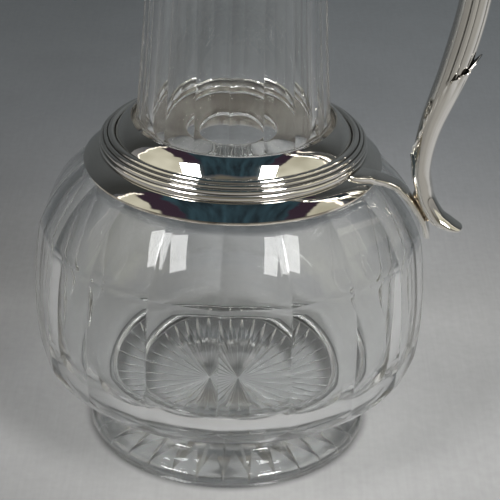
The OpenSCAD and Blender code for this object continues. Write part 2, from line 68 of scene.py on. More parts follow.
def direction(turn, tilt):
    """From the jug towards a point seen at that turn round it and that height above it."""
    t, e = radians(turn), radians(tilt)
    return Vector((sin(t) * cos(e), -cos(t) * cos(e), sin(e)))


def facing(back, up):
    """The turn that brings an object's +Z to back, with its +Y towards up."""
    side = up.cross(back).normalized()
    return Matrix((side, back.cross(side), back)).transposed()


lens = bpy.data.cameras.new("camera")
lens.lens = LENS_MM
lens.sensor_width = 36
lens.clip_end = 20
camera = bpy.data.objects.new("camera", lens)
camera.location = CAMERA_TARGET + CAMERA_DISTANCE * direction(CAMERA_TURN, CAMERA_TILT)
back = (camera.location - CAMERA_TARGET).normalized()
roll = Matrix.Rotation(radians(CAMERA_ROLL), 3, "Z")
camera.rotation_euler = (facing(back, Vector((0, 0, 1))) @ roll).to_euler()
bpy.context.scene.collection.objects.link(camera)
bpy.context.scene.camera = camera
bpy.context.scene.view_settings.view_transform = "Standard"
print("camera at", [round(c / MM, 1) for c in camera.location])

# %% [markdown]
# Light turns many times inside cut glass before it finds its way out. With the usual limits it is given
# up half way, and the thick rims go black. So the limits are raised here, once, for the whole lesson.

# %% Room for many turns of the light
light_paths = bpy.context.scene.cycles
light_paths.max_bounces = 32
light_paths.transmission_bounces = 32
light_paths.glossy_bounces = 24
print("turns of the light:", light_paths.max_bounces)

# %% [markdown]
# Shader nodes are easier to read as sums and products than as boxes and noodles. The class below
# wraps one socket, so that `1 - mask` adds a Math node by itself, and one method adds any other node.
# A Math node would turn a colour grey, so paint() lays one colour over another with a Mix node.


# %% Shader maths as expressions
class Flow:
    """An output socket that can be used in Python sums."""

    def __init__(self, tree, socket):
        self.tree = tree
        self.socket = socket

    def maths(self, operation, *others, flip=False):
        values = (*others, self) if flip else (self, *others)
        node = self.tree.nodes.new("ShaderNodeMath")
        node.operation = operation
        for slot, value in zip(node.inputs, values):
            plug(self.tree, slot, value)
        return Flow(self.tree, node.outputs[0])

    def __add__(self, other):
        return self.maths("ADD", other)

    def __sub__(self, other):
        return self.maths("SUBTRACT", other)

    def __rsub__(self, other):
        return self.maths("SUBTRACT", other, flip=True)

    def __mul__(self, other):
        return self.maths("MULTIPLY", other)

    def __truediv__(self, other):
        return self.maths("DIVIDE", other)

    def __rtruediv__(self, other):
        return self.maths("DIVIDE", other, flip=True)

    def __abs__(self):
        return self.maths("ABSOLUTE")

    __radd__ = __add__
    __rmul__ = __mul__


def plug(tree, slot, value):
    """Links a socket, or writes a plain value."""
    if isinstance(value, Flow):
        tree.links.new(value.socket, slot)
    else:
        slot.default_value = value


class Tree:
    """A node tree with one method for any node."""

    def __init__(self, tree):
        self.tree = tree
        tree.nodes.clear()

    def add(self, kind, settings=None, stops=None, out=0, **sockets):
        node = self.tree.nodes.new(kind)
        for name, value in (settings or {}).items():
            setattr(node, name, value)
        for k, (place, colour) in enumerate(stops or []):
            ramp = node.color_ramp.elements
            if k >= 2:
                ramp.new(place)
            ramp[k].position = place
            ramp[k].color = colour
        for name, value in sockets.items():
            key = int(name[1:]) if name[0] == "i" and name[1:].isdigit() else name.replace("_", " ")
            plug(self.tree, node.inputs[key], value)
        return Flow(self.tree, node.outputs[out] if len(node.outputs) else None)


def paint(t, under, mask, colour):
    """Lays a colour over another where the mask is 1."""
    return t.add("ShaderNodeMix", {"data_type": "RGBA"}, out=2, i0=mask, i6=under, i7=colour)


def rise(t, value, low, high, first=0.0, last=1.0):
    """first below low, last above high, and a soft step between."""
    return t.add("ShaderNodeMapRange", {"interpolation_type": "SMOOTHSTEP"}, Value=value,
                 From_Min=low, From_Max=high, To_Min=first, To_Max=last)


def new_material(name):
    """A material with an empty tree, and the place of each point on the object for its textures."""
    material = bpy.data.materials.new(name)
    material.use_nodes = True
    t = Tree(material.node_tree)
    return material, t, t.add("ShaderNodeTexCoord", out=3)


print("helpers for nodes:", [helper.__name__ for helper in (plug, paint, rise, new_material)])

# %% [markdown]
# Polished silver is a mirror with a slightly warm tint. Up close it carries fine hairlines from
# years of cleaning, and a soft, uneven bloom where polish stays in the hollows. The hairlines are a
# noise that is stretched along one direction, and the bloom only changes roughness a little. Pieces
# mark places with a value, and there the silver is painted nearly black: tarnish in the grooves,
# tarnish and painted shade at the back of the collar's rim, painted shade in the pockets of the leaf
# sheath. Old solder is the same metal, only darker, yellower and lumpy.

# %% Silver
SILVER_COLOUR = (0.93, 0.905, 0.86)
SOLDER_COLOUR = (0.42, 0.35, 0.26)
TARNISH_AND_SHADE_COLOUR = (0.012, 0.011, 0.01, 1)
HAIRLINE_SCALE = (900, 900, 90)


def silver(name="silver", colour=SILVER_COLOUR, polish=0.035, relief=0.012, grain=0.0004):
    material, t, place = new_material(name)
    # The marked value paints the silver nearly black: tarnish in grooves, painted shade in pockets and gaps.
    hollow = t.add("ShaderNodeAttribute", {"attribute_name": "hollow"}, out=2)
    bloom = t.add("ShaderNodeTexNoise", Vector=place, Scale=45.0, Detail=3.0)
    stretch = t.add("ShaderNodeMapping", Vector=place, Scale=HAIRLINE_SCALE)
    hairline = t.add("ShaderNodeTexNoise", Vector=stretch, Scale=1.0, Detail=2.0)
    dull = tuple(0.93 * c for c in colour)
    clean = t.add("ShaderNodeValToRGB", stops=[(0.35, (*colour, 1)), (0.7, (*dull, 1))], Fac=bloom)
    bumps = t.add("ShaderNodeBump", Strength=relief, Distance=grain, Height=hairline)
    shader = t.add("ShaderNodeBsdfPrincipled", Base_Color=paint(t, clean, hollow, TARNISH_AND_SHADE_COLOUR),
                   Metallic=1.0, Normal=bumps, Roughness=bloom * 0.05 + hollow * 0.4 + (polish - 0.02))
    t.add("ShaderNodeOutputMaterial", Surface=shader)
    return material


SILVER = silver()
SOLDER = silver("old_solder", SOLDER_COLOUR, polish=0.25, relief=0.6, grain=0.0006)
print("metals:", SILVER.name, "and", SOLDER.name)

# %% [markdown]
# Cut lead glass is clear and bends light more than window glass. A wheel leaves the panels not quite
# flat, so a very soft waviness goes into the normal, and the narrow flats over the edges and in the
# star are a little less polished. Glass in Blender throws the shadow of a solid thing, so part of the
# straight light is let through in shadows. The plaster that holds the collar is stained by damp.

# %% Glass and plaster
GLASS_INDEX = 1.53
SHADOW_LET_THROUGH = 0.62


def clear_glass():
    """Refracting glass that lets some straight light through to what stands behind it."""
    material, t, place = new_material("cut_glass")
    cut = t.add("ShaderNodeAttribute", {"attribute_name": "cut_edge"}, out=2)
    wave = t.add("ShaderNodeTexNoise", Vector=place, Scale=60.0, Detail=1.0)
    tint = t.add("ShaderNodeValToRGB", Fac=wave, stops=[(0.3, (0.985, 0.99, 0.99, 1)),
                                                        (0.7, (0.97, 0.98, 0.98, 1))])
    relief = t.add("ShaderNodeBump", Strength=0.03, Distance=0.001, Height=wave)
    shader = t.add("ShaderNodeBsdfPrincipled", Base_Color=tint, IOR=GLASS_INDEX, Normal=relief,
                   Roughness=wave * 0.01 + cut * 0.15, Transmission_Weight=1.0)
    through = t.add("ShaderNodeBsdfTransparent", Color=(0.93, 0.94, 0.94, 1))
    is_shadow = t.add("ShaderNodeLightPath", out=1)
    both = t.add("ShaderNodeMixShader", i0=is_shadow * SHADOW_LET_THROUGH, i1=shader, i2=through)
    t.add("ShaderNodeOutputMaterial", Surface=both)
    return material


def plaster():
    material, t, place = new_material("plaster_cement")
    grain = t.add("ShaderNodeTexNoise", Vector=place, Scale=700.0, Detail=4.0)
    dry = t.add("ShaderNodeValToRGB", Fac=grain, stops=[(0.3, (0.52, 0.48, 0.42, 1)),
                                                        (0.7, (0.66, 0.62, 0.55, 1))])
    damp = t.add("ShaderNodeTexNoise", Vector=place, Scale=75.0, Detail=2.0)
    stain = t.add("ShaderNodeMapRange", Value=damp, From_Min=0.42, From_Max=0.62)
    stained = paint(t, dry, stain * 0.75, (0.2, 0.165, 0.13, 1))
    # The top edge of the bedding, in the gap under the collar's rim, is painted nearly black as painted
    # shadow.
    rim = t.add("ShaderNodeAttribute", {"attribute_name": "hollow"}, out=2)
    tint = paint(t, stained, rim, (0.03, 0.026, 0.022, 1))
    relief = t.add("ShaderNodeBump", Strength=0.3, Distance=0.0003, Height=grain)
    shader = t.add("ShaderNodeBsdfPrincipled", Base_Color=tint, Roughness=grain * 0.3 + 0.6, Normal=relief)
    t.add("ShaderNodeOutputMaterial", Surface=shader)
    return material


GLASS = clear_glass()
PLASTER = plaster()
for name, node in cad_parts.items():
    node.data.materials.clear()
    node.data.materials.append(PLASTER if name in ("collar_cement", "neck_plaster") else SILVER)
print("materials:", [m.name for m in bpy.data.materials])

# %% [markdown]
# Outlines and paths are drawn with two curves: one that is pulled towards a point, for the profiles
# that a glassblower or silversmith draws, and one that runs through every row of a table, for the
# handle and the strap, whose sections were read off.


# %% Two curves
def bezier(a, c, b, n):
    """n steps along the curve from a to b that is drawn towards c."""
    return [tuple((1 - t) ** 2 * p + 2 * t * (1 - t) * q + t * t * r for p, q, r in zip(a, c, b))
            for t in (k / n for k in range(n + 1))]


def smooth(rows, n):
    """A curve through the rows, with n steps between each two."""
    line = []
    for k in range(len(rows) - 1):
        four = [rows[max(k - 1, 0)], rows[k], rows[k + 1], rows[min(k + 2, len(rows) - 1)]]
        for j in range(n):
            t = j / n
            line.append(tuple(
                0.5 * (2 * b + t * (c - a) + t * t * (2 * a - 5 * b + 4 * c - d)
                       + t ** 3 * (3 * b - a - 3 * c + d))
                for a, b, c, d in zip(*four)))
    return line + [tuple(rows[-1])]


def along(line, k):
    """Unit direction of a line of (radius, height, ...) at a row."""
    a, b = line[max(k - 1, 0)], line[min(k + 1, len(line) - 1)]
    away = hypot(b[0] - a[0], b[1] - a[1])
    return (b[0] - a[0]) / away, (b[1] - a[1]) / away


print("a bezier of 2 steps:", bezier((0, 0), (1, 0), (1, 1), 2))

# %% [markdown]
# Every piece becomes a mesh from nothing but points and faces. One function builds it, marks its hard
# edges, gives it its finish, hangs it on an empty for the body it rides on and hides the nodes it stands for.


# %% From points to a finished piece
def piece(name, points, faces, finish, body, nodes, hard, flat=None, marks=None):
    """hard(a, b) says if the edge between two corners is sharp, flat(face) if a face is faceted.

    marks gives named values for the finishes, one for each corner or one for each face."""
    mesh = bpy.data.meshes.new(name)
    mesh.from_pydata([Vector(p) * MM for p in points], [], faces)
    mesh.polygons.foreach_set("use_smooth", [not (flat and flat(k)) for k in range(len(faces))])
    sharp = mesh.attributes.new("sharp_edge", "BOOLEAN", "EDGE")
    sharp.data.foreach_set("value", [bool(hard(*e.vertices)) for e in mesh.edges])
    for label, values in (marks or {}).items():
        domain = "POINT" if len(values) == len(points) else "FACE"
        mesh.attributes.new(label, "FLOAT", domain).data.foreach_set("value", values)
    obj = bpy.data.objects.new(name, mesh)
    bpy.context.scene.collection.objects.link(obj)
    mesh.materials.append(finish)
    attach(obj, body)
    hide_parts(*nodes)


def grid_faces(rows, columns, ring=False):
    """Quads between rows that are closed rounds of corners. ring joins the last row to the first."""
    faces = []
    for k in range(rows if ring else rows - 1):
        for i in range(columns):
            a, b = k * columns + i, k * columns + (i + 1) % columns
            c, d = (a + columns) % (rows * columns), (b + columns) % (rows * columns)
            faces.append((a, b, d, c))
    return faces


print("faces between 3 rows of 4 corners:", len(grid_faces(3, 4)))

# %% [markdown]
# All the curved pieces come from two old workshop ideas. A lathe turns an outline round the axis, and
# a skin stretches over a row of rings. An outline keeps a hard edge wherever it turns sharply, and a
# skin wherever the maker names a ridge.


# %% Lathe and skin
HARD_TURN = 28


def corner_angle(line, k):
    """How sharply a closed outline turns at a point, in degrees."""
    a, b, c = line[k - 1], line[k], line[(k + 1) % len(line)]
    turn = atan2(c[1] - b[1], c[0] - b[0]) - atan2(b[1] - a[1], b[0] - a[0])
    return abs(degrees((turn + pi) % (2 * pi) - pi))


def hollows(line, places, width):
    """1 at the given places of an outline, fading to 0 at the given distance from them."""
    def nearness(point, place):
        away = hypot(point[0] - place[0], point[1] - place[1])
        return max(0.0, min(1.0, 1.5 - 1.5 * away / width))

    return [max(nearness(p, line[k]) for k in places) for p in line]


def lathe(name, outline, finish, body, nodes, hollow, columns=192):
    """Turns a closed outline of radius and height round the jug's axis, with hard edges at its corners.

    The last argument gives each point of the outline how dark it is painted, for tarnish and for painted
    shade."""
    points = [(r * cos(2 * pi * i / columns), r * sin(2 * pi * i / columns), z)
              for r, z in outline for i in range(columns)]
    corners = {k for k in range(len(outline)) if corner_angle(outline, k) > HARD_TURN}
    piece(name, points, grid_faces(len(outline), columns, ring=True), finish, body, nodes,
          hard=lambda a, b: a // columns == b // columns and a // columns in corners,
          marks={"hollow": [v for v in hollow for _ in range(columns)]})


def skin(name, rings, finish, body, nodes, ridges=(), ridged=(), hollow=None):
    """A closed skin over rings; ridges lists the ring places whose edges along the piece are sharp.

    ridged lists the rings between which they are sharp, and the last argument gives each corner how dark
    it is painted, for tarnish and for painted shade."""
    n = len(rings[0])
    faces = grid_faces(len(rings), n)
    ends = [tuple(range(n))[::-1], tuple(len(rings) * n - n + i for i in range(n))]
    rim = {0, len(rings) - 1}

    def hard(a, b):
        if a // n == b // n:
            return a // n in rim
        return a % n == b % n and a % n in ridges and a // n in ridged and b // n in ridged

    piece(name, [p for ring in rings for p in ring], faces + ends, finish, body, nodes,
          hard=hard, marks={"hollow": hollow} if hollow else None)


print("an outline keeps a hard edge above", HARD_TURN, "degrees")

# %% [markdown]
# The glass body is blown round and then cut. The wheel takes eighteen flat panels off it, from the
# neck down to a row of shallow arches just above the base, and a crease parts belly from shoulder.
# The mesh has one column of corners for every degree or so, and its rows bend to follow the arches,
# so that each cut edge is a real edge. Turning an outline would lose them, and a boolean would leave
# long thin faces that spoil the reflections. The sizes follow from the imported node.

# %% Sizes of the glass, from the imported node
PANELS = 18
PER_PANEL = 16
COLUMNS = PANELS * PER_PANEL
EDGE_HALF = 0.22
PANEL_TURN = -0.5
COLLAR_RISE = 16.2
glass_low, glass_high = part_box("glass_body")
collar_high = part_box("shoulder_collar")[1]
GLASS_TOP = glass_high.z / MM
BELLY_R = (glass_high.x - glass_low.x) / 2 / MM
COLLAR_R = collar_high.x / MM
COLLAR_TOP = collar_high.z / MM
COLLAR_Z = COLLAR_TOP - COLLAR_RISE
BELLY_Z, CREASE_Z, CREASE_R = 57, 85.2, 71
PANEL_FOOT_Z, PANEL_FOOT_DROP = 31, 2.2
SHOULDER_Z = COLLAR_Z - 1.4
NECK_R, NECK_TOP_R, NECK_FOOT_Z = 35.3, 30.6, COLLAR_Z + 18
WAIST_R, WAIST_Z, FOOT_R = 43.5, 14, 53.7
BELLY_WALL, NECK_WALL, FLOOR_Z = 4.5, 3.8, 22
print("glass:", round(BELLY_R, 1), "radius,", round(GLASS_TOP, 1), "high")

# %% [markdown]
# The outline comes in stretches, as a maker sees them: the moulded foot, the waist, the round blank
# under the panels, the cut belly, the shoulder, the strip that the collar hides, and the neck. The
# belly's radius has its own formula, because both its outside and the cavity use it.


# %% Outside of the glass
def belly(z):
    """Radius over the panel edges below the crease."""
    if z < BELLY_Z:
        return BELLY_R - PANEL_FOOT_DROP * ((BELLY_Z - z) / (BELLY_Z - PANEL_FOOT_Z)) ** 2.5
    return BELLY_R - (BELLY_R - CREASE_R) * ((z - BELLY_Z) / (CREASE_Z - BELLY_Z)) ** 2


def radius_at(line, z):
    """Radius where a line of (radius, height) crosses a height."""
    for (r0, z0), (r1, z1) in zip(line, line[1:]):
        if z0 <= z <= z1:
            return r0 + (r1 - r0) * (z - z0) / max(z1 - z0, 1e-9)
    return line[-1][0]


FOOT_LINE = [(FOOT_R - 0.9, 0), (FOOT_R - 0.3, 0.25), (FOOT_R, 0.9), (FOOT_R, 3.4), (FOOT_R - 0.15, 4.3)]
FOOT_LINE += bezier((FOOT_R - 0.6, 5.1), (WAIST_R + 2, 8.6), (WAIST_R, WAIST_Z), 10)
BASE_TOP = (WAIST_R + 8.5, 22.6)
BASE_LINE = bezier((WAIST_R, WAIST_Z), (WAIST_R, 20.5), BASE_TOP, 7)
BLANK_TOP_Z = 38
BLANK_LINE = bezier(BASE_TOP, (BELLY_R - 2.6, 27), (BELLY_R - 0.9, BLANK_TOP_Z), 24)
SHOULDER_LINE = bezier((CREASE_R, CREASE_Z), (CREASE_R - 5, CREASE_Z + 14.3), (COLLAR_R, SHOULDER_Z), 14)
HIDDEN_LINE = bezier((COLLAR_R, SHOULDER_Z), (NECK_R + 1.2, COLLAR_Z + 8), (NECK_R, NECK_FOOT_Z), 12)
NECK_LINE = bezier((NECK_R, NECK_FOOT_Z), (NECK_TOP_R + 0.4, NECK_FOOT_Z + 48), (NECK_TOP_R, GLASS_TOP), 16)
BELLY_ROWS = 18
belly_heights = [BLANK_TOP_Z + (CREASE_Z - BLANK_TOP_Z) * k / BELLY_ROWS for k in range(1, BELLY_ROWS)]
CREASE_ROW = len(belly_heights)
UPPER_LINE = [(belly(z), z) for z in belly_heights] + SHOULDER_LINE + HIDDEN_LINE[1:] + NECK_LINE[1:]
print("outline points:", len(FOOT_LINE + BASE_LINE + BLANK_LINE + UPPER_LINE))

# %% [markdown]
# The cavity can't be seen directly. What the picture shows is bent by the wall, so its shape was
# found by trying. The belly has a thick floor and an even wall. Behind the collar the cavity closes to a
# narrow throat and opens again into the neck. With a plain wide passage the plaster isn't seen lower in
# the neck, and with the throat it shows in the scalloped arches that the picture has.

# %% Cavity of the glass
INNER_R = BELLY_R - BELLY_WALL
SIDE_TOP = CREASE_Z - 1.5
SIDE_ROWS = 8
CAVITY_SHOULDER = (COLLAR_R - BELLY_WALL * 0.55, SHOULDER_Z - BELLY_WALL * 0.85)
CAVITY_NECK = (NECK_R - NECK_WALL - 0.3, NECK_FOOT_Z)
THROAT_R, THROAT_Z = 15, COLLAR_TOP - 5.8
CAVITY_LINE = [(0.01, FLOOR_Z), (12, FLOOR_Z + 0.05), (24, FLOOR_Z + 0.2)]
CAVITY_LINE += bezier((WAIST_R - 10, FLOOR_Z + 0.4), (INNER_R - 2.5, FLOOR_Z + 2.6), (INNER_R - 0.1, 50), 18)
side_heights = [BELLY_Z + (SIDE_TOP - BELLY_Z) * k / SIDE_ROWS for k in range(SIDE_ROWS + 1)]
CAVITY_LINE += [(belly(z) - BELLY_WALL, z) for z in side_heights]
CAVITY_LINE += bezier(CAVITY_LINE[-1], (CREASE_R - 5 - BELLY_WALL, CREASE_Z + 11.4), CAVITY_SHOULDER, 12)[1:]
CAVITY_LINE += bezier(CAVITY_SHOULDER, (21, SHOULDER_Z + 1), (THROAT_R, THROAT_Z - 2), 14)[1:]
CAVITY_LINE += bezier((THROAT_R, THROAT_Z), (THROAT_R + 0.4, COLLAR_TOP - 4.6),
                      (THROAT_R + 3, COLLAR_TOP - 4.4), 6)
CAVITY_LINE += bezier((CAVITY_NECK[0] - 2.5, COLLAR_TOP - 3.6), (CAVITY_NECK[0], COLLAR_TOP - 3.5),
                      (CAVITY_NECK[0], COLLAR_TOP - 1.6), 6)
CAVITY_LINE.append(CAVITY_NECK)
CAVITY_LINE += bezier(CAVITY_NECK, (NECK_TOP_R - NECK_WALL + 0.4, NECK_FOOT_Z + 48),
                      (NECK_TOP_R - NECK_WALL, GLASS_TOP - 0.4), 12)[1:]
print("cavity points:", len(CAVITY_LINE))

# %% [markdown]
# Under the foot sits a star: thirty-two grooves, cut with a wheel that bites deepest half way out. So
# each groove narrows to a point near the rim, and near the middle the grooves meet in sharp crests.


# %% The star under the foot
STAR_RAYS = 32
STAR_EDGE = 50.3
STAR_FULL = 30
STAR_DEPTH = 3.0
STAR_RADII = (0.3, 3, 6, 10, 14, 18, 22, 26, 29.9,
              32, 34, 36, 38, 40, 42, 44, 46, 47.5, 48.7, 49.6, STAR_EDGE)
RECESS = 0.8
WIDEST_GROOVE, NARROWEST_GROOVE = 0.97, 0.02


def star_row(r):
    """Corners of the underside at a radius: twelve for each ray, gathered where its groove ends."""
    half_pitch = pi / STAR_RAYS
    left = 1 if r < STAR_FULL else max(0, 1 - ((r - STAR_FULL) / (STAR_EDGE - STAR_FULL)) ** 1.4)
    edge = half_pitch * min(WIDEST_GROOVE, max(NARROWEST_GROOVE, left * STAR_FULL / max(r, STAR_FULL)))
    offsets = [edge * k / 3 for k in range(4)] + [edge + (half_pitch - edge) * k / 3 for k in (1, 2, 3)]
    slope = STAR_DEPTH / (half_pitch * STAR_FULL)
    row = []
    for ray in range(STAR_RAYS):
        for offset in [-off for off in offsets[:0:-1]] + offsets[:-1]:
            turn = ray * 2 * half_pitch + offset
            depth = max(0, STAR_DEPTH * left - slope * min(abs(offset), edge) * r)
            row.append((r * cos(turn), r * sin(turn), RECESS + depth))
    return row


star = [star_row(r) for r in STAR_RADII]
star.append([(x, y, 0) for x, y, _ in star_row(STAR_EDGE + 0.3)])
print("star rows:", len(star), "corners in each:", len(star[0]))

# %% [markdown]
# The rows of the body start at the star's rim and end in the middle of the cavity's floor. Up to the
# arches they are round. From there on each panel is flat: a corner's radius shrinks towards the middle
# of its panel. Between two panels stays a narrow flat, which the mesh marks as cut_edge.


# %% Rows of corners over the whole glass
ARCH_STEPS = 14
ARCH_SEARCH_TOP = 38.4
ABOVE_ARCHES = 38.5


def panel_turns():
    """Angles of the columns: each panel's own, and a narrow flat over the edge between two panels."""
    step = (360 / PANELS - 2 * EDGE_HALF) / (PER_PANEL - 1)
    return [radians(360 / PANELS * k + EDGE_HALF + step * j + PANEL_TURN)
            for k in range(PANELS) for j in range(PER_PANEL)]


def arch_height(shrink):
    """Where a panel's plane leaves the round base: higher at the panel's edges, lower at its middle."""
    low, high = BASE_TOP[1], ARCH_SEARCH_TOP
    for _ in range(30):
        z = (low + high) / 2
        if radius_at(BLANK_LINE, z) < belly(z) * shrink:
            low = z
        else:
            high = z
    return z


def glass_rows():
    """Rows from the rim of the star, over foot, belly and neck, into the cavity, and the named ones."""
    turns = panel_turns()
    half = pi / PANELS
    shrink = [cos(half) / cos(((a - radians(PANEL_TURN)) % (2 * half)) - half) for a in turns]
    rows, named = [], {}

    def add_row(radii, heights):
        rows.append([(r * cos(a), r * sin(a), z) for r, a, z in zip(radii, turns, heights)])

    for r, z in [(STAR_EDGE + 1.2, 0)] + FOOT_LINE + BASE_LINE[1:]:
        add_row([r] * COLUMNS, [z] * COLUMNS)
    arches = [arch_height(s) for s in shrink]
    for k in range(1, ARCH_STEPS + 1):
        heights = [BASE_TOP[1] + (z - BASE_TOP[1]) * k / ARCH_STEPS for z in arches]
        add_row([radius_at(BLANK_LINE, z) for z in heights], heights)
    named["arches"] = len(rows) - 1
    for part in (0.35, 0.7, 1):
        heights = [z + (ABOVE_ARCHES - z) * part for z in arches]
        add_row([belly(z) * s for z, s in zip(heights, shrink)], heights)
    named["crease"] = len(rows) + CREASE_ROW
    for r, z in UPPER_LINE:
        add_row([r * s for s in shrink], [z] * COLUMNS)
    named["lip"] = len(rows) - 1
    for r, z in CAVITY_LINE[::-1]:
        add_row([r] * COLUMNS, [z] * COLUMNS)
    return rows, named


rows, named = glass_rows()
print("rows:", len(rows), "named:", named)

# %% [markdown]
# Star and body have different numbers of corners in a row, so a ring of triangles joins them. The rims
# of the foot, the arches, the crease, the lip and the panels' long edges stay sharp. The star's faces
# are flat, as the wheel leaves them.


# %% One body from star and rows
STAR_HAZE = 0.8


def stitch(inner, outer, points):
    """Triangles between two level rings that have different numbers of corners."""
    def turn(i):
        return atan2(points[i][1], points[i][0]) % (2 * pi)

    inner, outer = sorted(inner, key=turn), sorted(outer, key=turn)
    faces, i, j = [], 0, 0
    while i < len(inner) or j < len(outer):
        a, b = inner[i % len(inner)], outer[j % len(outer)]
        next_a, next_b = inner[(i + 1) % len(inner)], outer[(j + 1) % len(outer)]
        ahead_a = turn(next_a) + (2 * pi if i + 1 >= len(inner) else 0)
        ahead_b = turn(next_b) + (2 * pi if j + 1 >= len(outer) else 0)
        if j >= len(outer) or (i < len(inner) and ahead_a <= ahead_b):
            faces.append((a, next_a, b))
            i += 1
        else:
            faces.append((a, next_b, b))
            j += 1
    return faces


def make_glass():
    """Star, body rows, the ring of triangles between them and a cap at each end."""
    wide = len(star[0])
    offset = len(star) * wide
    points = [p for row in star + rows for p in row]
    star_faces = grid_faces(len(star), wide)
    body_faces = [tuple(offset + i for i in f) for f in grid_faces(len(rows), COLUMNS)]
    ring = stitch(range(offset - wide, offset), range(offset, offset + COLUMNS), points)
    last = len(points) - COLUMNS
    caps = [tuple(range(wide))[::-1], tuple(last + i for i in range(COLUMNS))]
    faces = star_faces + body_faces + ring + caps
    hard_rows = {0, 1, named["arches"], named["crease"], named["lip"], named["lip"] + 1}

    def hard(a, b):
        if a < offset or b < offset:
            return a >= offset - 2 * wide or b >= offset - 2 * wide
        row_a, row_b = (a - offset) // COLUMNS, (b - offset) // COLUMNS
        if row_a == row_b:
            return row_a in hard_rows
        column = (a - offset) % COLUMNS % PER_PANEL
        low, high = min(row_a, row_b), max(row_a, row_b)
        return column in (0, PER_PANEL - 1) and low >= named["arches"] and high <= named["lip"]

    cut_edge = [STAR_HAZE] * len(star_faces) + [0.0] * (len(faces) - len(star_faces))
    for row in range(named["arches"], named["lip"]):
        for panel in range(1, PANELS + 1):
            cut_edge[len(star_faces) + row * COLUMNS + panel * PER_PANEL - 1] = 1.0
    piece("glass_vessel", points, faces, GLASS, "vessel", ["glass_body"],
          hard=hard, flat=lambda k: k < len(star_faces), marks={"cut_edge": cut_edge})
    print("glass corners:", len(points))


make_glass()

# %% [markdown]
# The shoulder collar is raised from sheet on a stake and finished on the lathe. From the neck outwards
# it has a plain convex band, one wide reed, two narrow ones, a bead, and a second plain band that ends
# in a thin turned edge on the glass. The outline is a chain of arcs, so the grooves between the reeds
# are as sharp as the real ones. The grooves are painted dark for tarnish. The back of the rim is painted
# dark too, partly for tarnish and partly as painted shade in the gap above the plaster.


# %% Shoulder collar
ARC_STEPS = 14
REEDS_START, REEDS_STOP = 174, -60
GROOVE_WIDTH = 0.62
RIM_TARNISH_AND_SHADE_POINTS = 8


def arc(x, z, r, start, stop, n):
    turns = [radians(start + (stop - start) * k / n) for k in range(n + 1)]
    return [(x + r * cos(turn), z + r * sin(turn)) for turn in turns]


def groove(a, b):
    """Angles at which two round reeds meet, seen from the first and from the second."""
    away = hypot(b[0] - a[0], b[1] - a[1])
    turn = degrees(atan2(b[1] - a[1], b[0] - a[0]))
    reach = (away ** 2 + a[2] ** 2 - b[2] ** 2) / (2 * away)
    return turn + degrees(acos(reach / a[2])), turn + 180 - degrees(acos((away - reach) / b[2]))


def reed_line(reeds, start, stop):
    """The arcs of a row of reeds, each from the groove before it to the groove after it."""
    line = []
    for k, (x, z, r) in enumerate(reeds):
        first = start if k == 0 else groove(reeds[k - 1], reeds[k])[1]
        last = stop if k == len(reeds) - 1 else groove(reeds[k], reeds[k + 1])[0]
        line += arc(x, z, r, first, last, ARC_STEPS)[0 if k == 0 else 1:]
    return line


def underside(line, thickness):
    """A band's line again, backwards and set in by a thickness."""
    return [(r - 0.6 * thickness, z - 0.8 * thickness) for r, z in line[::-1]]


BEAD_Z = COLLAR_Z + 5.75
COLLAR_REEDS = [(COLLAR_R - 10.13, BEAD_Z + 4.17, 1.28), (COLLAR_R - 8.24, BEAD_Z + 3.5, 0.9),
                (COLLAR_R - 7, BEAD_Z + 2.18, 0.98), (COLLAR_R - 7.25, BEAD_Z, 1.5)]
COLLAR_RIM_R = 37.2
UPPER_BAND = bezier((COLLAR_RIM_R, COLLAR_TOP), (COLLAR_RIM_R + 3.5, COLLAR_TOP - 2.3),
                    (COLLAR_R - 11.45, COLLAR_Z + 10.05), 14)
LOWER_BAND = bezier((COLLAR_R - 6.4, COLLAR_Z + 4.5), (COLLAR_R - 3.1, COLLAR_Z + 2.85),
                    (COLLAR_R, COLLAR_Z), 14)
reeding = reed_line(COLLAR_REEDS, REEDS_START, REEDS_STOP)
collar_line = UPPER_BAND + reeding[1:] + LOWER_BAND + underside(LOWER_BAND[:-1], 1) + underside(UPPER_BAND, 1)
grooves = [len(UPPER_BAND) - 1 + ARC_STEPS * k for k in range(len(COLLAR_REEDS) + 1)]
grooves += [len(UPPER_BAND) + len(reeding) - 1, len(collar_line) - 1]
# Grooves are darkened for tarnish. The last points, at the back of the rim, are painted dark for tarnish and
# for painted shade in the gap over the plaster.
dark = hollows(collar_line, grooves, GROOVE_WIDTH)[:-RIM_TARNISH_AND_SHADE_POINTS] + [1.0] * RIM_TARNISH_AND_SHADE_POINTS
lathe("shoulder_collar_ring", collar_line, SILVER, "vessel", ["shoulder_collar"],
      hollow=dark, columns=256)
print("collar outline:", len(collar_line), "points, grooves at", grooves)

# %% [markdown]
# Wet plaster fills the room under the collar and takes the shape of both. Its inner face is set a bit
# into the glass, so that no film of air is left between them and the plaster shows through the wall.
# Where it ends under the rim it is painted dark, as painted shadow in the gap under the collar.

# %% Bedding of the collar
BEDDING_TOP = 124.2
PAINTED_SHADOW_FROM_Z = 122.6
INTO_THE_GLASS = 0.984
bedding = underside(LOWER_BAND[1:-2], 1.1) + underside(UPPER_BAND[5:], 1.1)
bedding += [(r * INTO_THE_GLASS, z - 0.1) for r, z in HIDDEN_LINE[::-1] if z < BEDDING_TOP]
# From this height up the bedding is painted nearly black, as painted shadow in the gap under the rim.
lathe("collar_bedding", bedding, PLASTER, "vessel", ["collar_cement"],
      hollow=[min(1.0, max(0.0, z - PAINTED_SHADOW_FROM_Z)) for _, z in bedding])
print("bedding from", round(min(z for _, z in bedding), 1), "to", round(max(z for _, z in bedding), 1))

# %% [markdown]
# The handle is a casting. Its lower half is plain and oval and ends in a thin lip that curls away from
# the jug. Its upper half has five rounded reeds on the outer side, a broad one between narrower ones.
# A table of sections gives its path, depth and width, and a formula cuts the reeds into each section.

